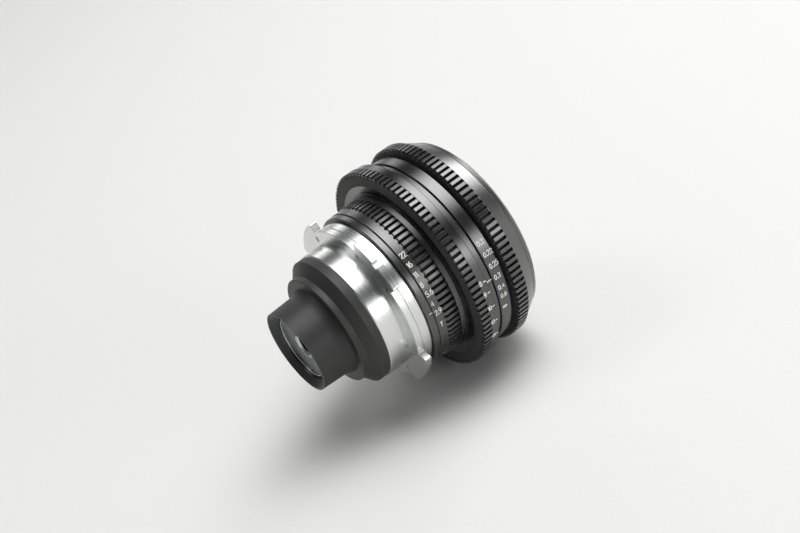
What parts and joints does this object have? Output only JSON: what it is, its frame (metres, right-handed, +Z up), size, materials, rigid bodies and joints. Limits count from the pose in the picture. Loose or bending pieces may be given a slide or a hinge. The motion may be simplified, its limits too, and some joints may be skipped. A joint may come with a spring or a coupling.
{
  "type": "fisheye lens",
  "caption": "Cine fisheye zoom lens with geared iris, zoom and focus rings, four-tab positive-lock mount, domed front glass and a long stepped rear tube with a hooded rear glass.",
  "frame": {"origin": "centre of the mount's seat face, on the optical axis", "axes": "+Y along the optical axis toward the camera, front glass toward -Y, +Z up, index marks on the -X side"},
  "size_m": [0.0864, 0.0922, 0.0864],
  "materials": {
    "barrel_black": "black anodised, satin",
    "ring_black": "black anodised, satin",
    "rear_black": "matte black",
    "mount_silver": "finely turned, bright",
    "screw_steel": "satin",
    "front_glass": "coated, polished",
    "rear_glass": "coated, polished",
    "inner_glass": "polished",
    "inner_black": "flat black anodised",
    "sleeve_metal": "black anodised",
    "key_brass": "machined",
    "blade_black": "matte black"
  },
  "bodies": {
    "lens_body": {"main_barrel": "barrel_black", "mount_flange": "mount_silver", "mount_spacer": "mount_silver", "mount_screws": "screw_steel", "mount_base_ring": "barrel_black", "index_band": "barrel_black", "rear_barrel": "rear_black", "rear_hood": "rear_black", "rear_bezel": "rear_black", "rear_element": "rear_glass", "rear_spacer": "inner_black", "rear_inner_element": "inner_glass", "iris_housing": "inner_black", "iris_retainer": "inner_black", "front_housing": "barrel_black", "front_element": "front_glass", "front_retainer": "barrel_black", "second_element": "inner_glass", "guide_rods": "screw_steel"},
    "iris_ring": {"iris_ring": "ring_black", "iris_drive_pin": "screw_steel", "iris_actuator": "inner_black"},
    "zoom_ring": {"zoom_ring": "ring_black", "zoom_key": "key_brass", "cam_sleeve": "sleeve_metal"},
    "focus_ring": {"focus_ring": "ring_black", "focus_key": "key_brass", "focus_sleeve": "sleeve_metal"},
    "rear_zoom_group": {"rear_zoom_carrier": "inner_black", "rear_zoom_followers": "key_brass", "rear_zoom_element": "inner_glass"},
    "front_zoom_group": {"front_zoom_carrier": "inner_black", "front_zoom_followers": "key_brass", "front_zoom_element": "inner_glass"},
    "focus_group": {"focus_cell": "inner_black", "focus_followers": "key_brass", "focus_element": "inner_glass"},
    "iris_blade_1": {"iris_blade_1": "blade_black"},
    "iris_blade_2": {"iris_blade_2": "blade_black"},
    "iris_blade_3": {"iris_blade_3": "blade_black"},
    "iris_blade_4": {"iris_blade_4": "blade_black"},
    "iris_blade_5": {"iris_blade_5": "blade_black"},
    "iris_blade_6": {"iris_blade_6": "blade_black"}
  },
  "joints": [
    {"name": "iris_turn", "type": "hinge", "parent": "lens_body", "child": "iris_ring", "pos_m": [0, -0.0167, 0], "axis": [0, -1, 0], "range_deg": [-2, 41.5]},
    {"name": "zoom_turn", "type": "hinge", "parent": "lens_body", "child": "zoom_ring", "pos_m": [0, -0.0273, 0], "axis": [0, -1, 0], "range_deg": [-33, 3]},
    {"name": "focus_turn", "type": "hinge", "parent": "lens_body", "child": "focus_ring", "pos_m": [0, -0.042, 0], "axis": [0, -1, 0], "range_deg": [-24.5, 21]},
    {"name": "rear_zoom_slide", "type": "slide", "parent": "lens_body", "child": "rear_zoom_group", "axis": [0, -1, 0], "range_m": [-0.00111, 0.00011]},
    {"name": "front_zoom_slide", "type": "slide", "parent": "lens_body", "child": "front_zoom_group", "axis": [0, -1, 0], "range_m": [-0.00182, 0.00018]},
    {"name": "focus_slide", "type": "slide", "parent": "lens_body", "child": "focus_group", "axis": [0, -1, 0], "range_m": [-0.00124, 0.00107]},
    {"name": "iris_blade_1_swing", "type": "hinge", "parent": "lens_body", "child": "iris_blade_1", "pos_m": [0.0214, -0.0194, 0], "axis": [0, -1, 0], "range_deg": [-1.2, 23]},
    {"name": "iris_blade_2_swing", "type": "hinge", "parent": "lens_body", "child": "iris_blade_2", "pos_m": [0.0107, -0.0194, 0.01853], "axis": [0, -1, 0], "range_deg": [-1.2, 23]},
    {"name": "iris_blade_3_swing", "type": "hinge", "parent": "lens_body", "child": "iris_blade_3", "pos_m": [-0.0107, -0.0194, 0.01853], "axis": [0, -1, 0], "range_deg": [-1.2, 23]},
    {"name": "iris_blade_4_swing", "type": "hinge", "parent": "lens_body", "child": "iris_blade_4", "pos_m": [-0.0214, -0.0194, 0], "axis": [0, -1, 0], "range_deg": [-1.2, 23]},
    {"name": "iris_blade_5_swing", "type": "hinge", "parent": "lens_body", "child": "iris_blade_5", "pos_m": [-0.0107, -0.0194, -0.01853], "axis": [0, -1, 0], "range_deg": [-1.2, 23]},
    {"name": "iris_blade_6_swing", "type": "hinge", "parent": "lens_body", "child": "iris_blade_6", "pos_m": [0.0107, -0.0194, -0.01853], "axis": [0, -1, 0], "range_deg": [-1.2, 23]}
  ],
  "couplings": [
    {"joint": "rear_zoom_slide", "follows": "zoom_turn", "m_per_rad": 0.0019079},
    {"joint": "front_zoom_slide", "follows": "zoom_turn", "m_per_rad": 0.0031226},
    {"joint": "focus_slide", "follows": "focus_turn", "m_per_rad": 0.0028648},
    {"joint": "iris_blade_1_swing", "follows": "iris_turn", "ratio": 0.55},
    {"joint": "iris_blade_2_swing", "follows": "iris_turn", "ratio": 0.55},
    {"joint": "iris_blade_3_swing", "follows": "iris_turn", "ratio": 0.55},
    {"joint": "iris_blade_4_swing", "follows": "iris_turn", "ratio": 0.55},
    {"joint": "iris_blade_5_swing", "follows": "iris_turn", "ratio": 0.55},
    {"joint": "iris_blade_6_swing", "follows": "iris_turn", "ratio": 0.55}
  ]
}
